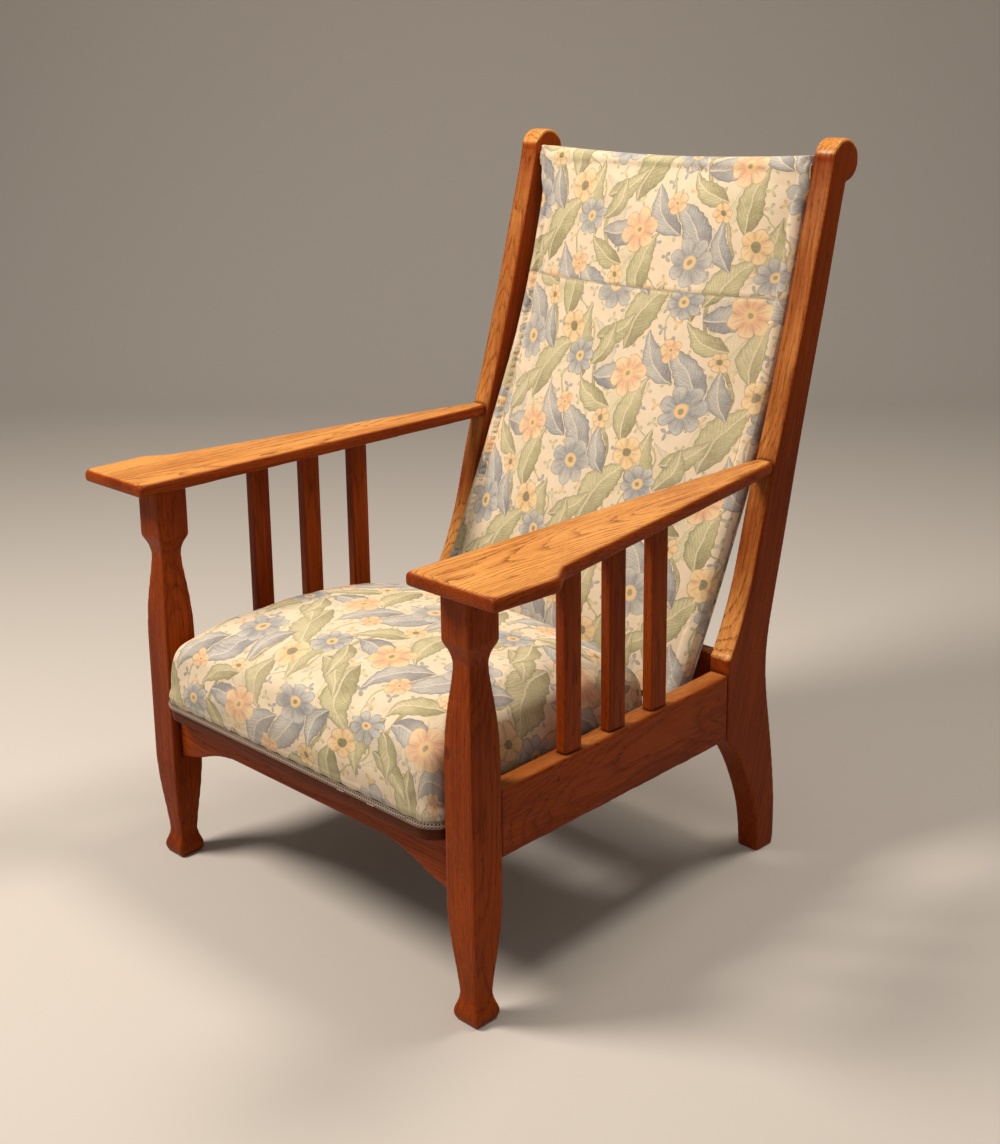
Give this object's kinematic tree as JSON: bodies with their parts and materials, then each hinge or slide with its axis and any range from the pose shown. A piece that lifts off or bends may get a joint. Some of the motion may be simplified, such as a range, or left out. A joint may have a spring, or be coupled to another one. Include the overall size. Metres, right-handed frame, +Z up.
{
  "type": "reclining armchair",
  "caption": "Oak reclining easy chair with flat paddle arms, square slats and curved rear posts; its stuffed seat slides forward and the hinged stuffed back tilts with it.",
  "frame": {"origin": "on the floor, at the middle of the chair's overall width and depth", "axes": "+X is the sitter's left, +Y is towards the back of the chair, +Z is up"},
  "size_m": [0.864, 0.8557, 1.053],
  "materials": {
    "oak": "worn satin wax polish",
    "dark_oak": "dark satin polish",
    "hidden_timber": "plain sawn",
    "printed_linen": "printed, soft matt weave",
    "jute_webbing": "coarse weave",
    "lining_cloth": "matt",
    "gimp_braid": "looped braid",
    "bronze": "dull",
    "steel": "dull"
  },
  "bodies": {
    "chair_frame": {"arm_left": "oak", "arm_right": "oak", "front_leg_left": "oak", "front_leg_right": "oak", "front_rail": "oak", "pivot_bush_left": "bronze", "pivot_bush_right": "bronze", "rear_cross_rail": "oak", "rear_post_left": "oak", "rear_post_right": "oak", "rear_stop_left": "hidden_timber", "rear_stop_right": "hidden_timber", "runner_left": "hidden_timber", "runner_right": "hidden_timber", "runner_screws": "steel", "side_rail_left": "oak", "side_rail_right": "oak", "slat_left_1": "oak", "slat_left_2": "oak", "slat_left_3": "oak", "slat_right_1": "oak", "slat_right_2": "oak", "slat_right_3": "oak", "thrust_washers": "bronze"},
    "sliding_seat": {"seat_braid": "gimp_braid", "seat_cushion": "printed_linen", "seat_front_member": "dark_oak", "seat_guide_left": "hidden_timber", "seat_guide_right": "hidden_timber", "seat_rear_member": "hidden_timber", "seat_side_member_left": "hidden_timber", "seat_side_member_right": "hidden_timber", "seat_under_cover": "lining_cloth", "seat_webbing_crosswise": "jute_webbing", "seat_webbing_lengthwise": "jute_webbing", "slot_plate_left": "steel", "slot_plate_right": "steel", "slot_plate_screws": "steel"},
    "hinged_back": {"back_bottom_rail": "hidden_timber", "back_cushion": "printed_linen", "back_outer_cover": "printed_linen", "back_stile_left": "hidden_timber", "back_stile_right": "hidden_timber", "back_top_rail": "hidden_timber", "back_top_roll": "printed_linen", "back_webbing_level": "jute_webbing", "back_webbing_upright": "jute_webbing", "link_bracket_left": "steel", "link_bracket_right": "steel", "link_bracket_screws": "steel", "pivot_pin_left": "steel", "pivot_pin_right": "steel"}
  },
  "joints": [
    {"name": "seat_slide", "type": "slide", "parent": "chair_frame", "child": "sliding_seat", "axis": [0, -1, 0], "range_m": [0, 0.09]},
    {"name": "back_recline", "type": "hinge", "parent": "chair_frame", "child": "hinged_back", "pos_m": [0, 0.3804, 1.004], "axis": [-1, 0, 0], "range_deg": [0, 7.3]}
  ],
  "couplings": [
    {"joint": "back_recline", "follows": "seat_slide", "rad_per_m": 1.395}
  ]
}
